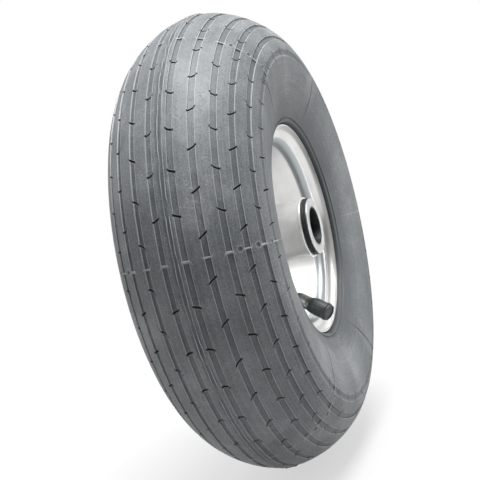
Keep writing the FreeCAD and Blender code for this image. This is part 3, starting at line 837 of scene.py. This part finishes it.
def make_stem():
    radius, mouth, passage, bend, inside, sides = 3.85, 2.6, 1.25, 5.0, 6.0, 32
    thread_top, thread_foot, thread_pitch, thread_depth = -0.5, -12.5, 0.8, 0.28
    bend_steps = 12
    shape = bmesh.new()
    matrix = frame_at(stem_end, arm_way)
    straight = bend - stem_length
    rings = [(passage, straight), (passage, -12.1), (mouth, -11.5), (mouth, -0.3), (mouth + 0.3, 0),
             (radius - 0.45, 0), (radius - 0.3, -0.15)]
    for turn in range(round((thread_top - thread_foot) / thread_pitch)):
        along = thread_top - thread_pitch * turn
        rings += [(radius, along), (radius - thread_depth, along - thread_pitch / 2)]
    rings += [(radius, thread_foot - 0.2), (radius, straight)]
    loops = [ring_on(shape, matrix, ring, along, sides) for ring, along in rings]
    for first, second in zip(loops, loops[1:]):
        bmesh.ops.bridge_loops(shape, edges=first + second)
    ends = loops[0] + loops[-1]
    corners = list({corner for edge in ends for corner in edge.verts})
    centre = arm_start + (arm_way - wall_out) * bend * mm
    bent = bmesh.ops.spin(shape, geom=corners + ends, cent=centre, axis=arm_way.cross(wall_out), angle=math.pi / 2,
                          steps=bend_steps)["geom_last"]
    ends = [part for part in bent if isinstance(part, bmesh.types.BMEdge)]
    foot = bmesh.ops.extrude_edge_only(shape, edges=ends)["geom"]
    corners = [part for part in foot if isinstance(part, bmesh.types.BMVert)]
    bmesh.ops.translate(shape, vec=wall_out * (bend - arm_height - sheet - inside) * mm, verts=corners)
    ends = [part for part in foot if isinstance(part, bmesh.types.BMEdge) and set(part.verts) <= set(corners)]
    bmesh.ops.bridge_loops(shape, edges=ends)
    bmesh.ops.remove_doubles(shape, verts=shape.verts[:], dist=0.001 * mm)
    stem = finished("valve_stem_bent", shape, "wheel", "stem_nickel", "valve_stem", sharp=40)
    finish = Finish("stem_nickel", Metallic=0.9)
    tarnish = finish.cloud(4 * mm, 4)
    marks = finish.cloud(0.5 * mm, 2)
    finish.vary(Base_Color=finish.mix(tarnish.rise(0.25, 0.75), (0.16, 0.17, 0.17, 1), (0.36, 0.37, 0.36, 1)),
                Roughness=0.42 + (marks - 0.5) * 0.2)
    finish.relief(marks * 0.02 * mm)
    stem.data.materials.append(finish.material)


def make_stem_base():
    pad, neck, hole, sides = 6.4, 4.75, 3.87, 48
    shape = bmesh.new()
    matrix = frame_at(valve_foot, wall_out)
    rings = [(hole, -2.4), (pad - 0.2, -2.4), (pad, -2.2), (pad, -0.9), (pad - 0.5, -0.6), (neck, -0.6),
             (neck, sheet + 0.4), (neck - 0.25, sheet + 0.72), (neck - 0.55, sheet + 0.8), (hole, sheet + 0.8)]
    skin(shape, [ring_on(shape, matrix, radius, along, sides) for radius, along in rings], closed=True)
    base = finished("valve_base_rubber", shape, "wheel", "tube_rubber", "valve_base", sharp=40)
    base.data.materials.append(rubber("base_rubber", (0.02, 0.021, 0.022), 0.55).material)


make_stem()
make_stem_base()


# The cap is moulded in black plastic. Its skirt tapers in over the thread, fine flutes give it grip, and a collar runs
# round it near the dished end. A soft rubber disc inside it seals the stem.
def make_cap():
    shape = bmesh.new()
    matrix = frame_at(stem_end, arm_way)
    top, length, radius, rear, inner = 2.6, 12.8, 4.8, 4.3, 3.95
    flutes, flute_depth, sides = 24, 0.16, 96
    foot = top - length
    collar = top - 3.0
    flute_foot, flute_top = foot + 3.0, collar - 0.3
    rings = [(0.5, top - 1.6), (inner, top - 1.6), (inner, foot + 0.3), (inner + 0.1, foot), (rear - 0.15, foot),
             (rear, foot + 0.15), (radius - 0.12, foot + 2.4), (radius, foot + 2.7), (radius, foot + 3.2),
             (radius, collar - 0.35), (radius - 0.12, collar - 0.2), (radius - 0.12, collar),
             (radius + 0.12, collar + 0.1), (radius + 0.28, collar + 0.3), (radius + 0.28, collar + 1.2),
             (radius + 0.12, collar + 1.4), (radius - 0.25, collar + 1.5), (radius - 0.12, collar + 1.7),
             (radius - 0.12, top - 0.75), (radius - 0.3, top - 0.3), (radius - 0.75, top - 0.05),
             (radius - 1.15, top - 0.05), (radius - 1.35, top - 0.3), (radius - 1.5, top - 0.62), (1.2, top - 0.62),
             (0.5, top - 0.5)]
    skin(shape, [ring_on(shape, matrix, ring, along, sides) for ring, along in rings])
    for corner in shape.verts:
        place = matrix.inverted() @ corner.co
        across = Vector((place.x, place.y, 0))
        if flute_foot < place.z / mm < flute_top and across.length > (radius - 0.5) * mm:
            dip = 0.5 - 0.5 * math.cos(math.atan2(place.y, place.x) * flutes)
            corner.co = matrix @ (place - across.normalized() * dip * flute_depth * mm)
    cap = finished("valve_cap_moulded", shape, "valve_cap", "cap_plastic", "valve_cap", sharp=35)
    finish = Finish("cap_plastic", Specular_IOR_Level=0.5)
    dust = finish.cloud(2.2 * mm, 4)
    grain = finish.cloud(0.3 * mm, 2)
    black, dusty = (0.034, 0.042, 0.043, 1), (0.075, 0.088, 0.088, 1)
    finish.vary(Base_Color=finish.mix((dust - 0.2).rise(0.1, 0.6), black, dusty),
                Roughness=0.46 + (dust - 0.5) * 0.3)
    finish.relief(grain * 0.03 * mm)
    cap.data.materials.append(finish.material)
    dress(rubber("gasket_rubber", (0.02, 0.02, 0.02), 0.6), "valve_cap_gasket")


make_cap()


# The valve core is turned brass with a steel spring round its pin. It sits inside the stem, under the cap.
def brass(name):
    finish = Finish(name, Metallic=1.0)
    turned = finish.cloud(0.4 * mm, 2)
    tarnish = finish.cloud(3 * mm, 3)
    finish.vary(Base_Color=finish.mix(tarnish.rise(0.3, 0.7), (0.50, 0.36, 0.14, 1), (0.68, 0.52, 0.24, 1)),
                Roughness=0.28 + turned * 0.14)
    finish.relief(turned * 0.015 * mm)
    return finish


dress(brass("core_brass"), "valve_core", "valve_core_pin")
dress(steel("spring_steel", (0.55, 0.55, 0.56), 0.3, 0.8 * mm), "valve_core_spring")


# The inner tube is black butyl rubber, blown up against the inside of the tyre. It doesn't show.
dress(rubber("tube_rubber", (0.018, 0.018, 0.019), 0.5), "inner_tube")
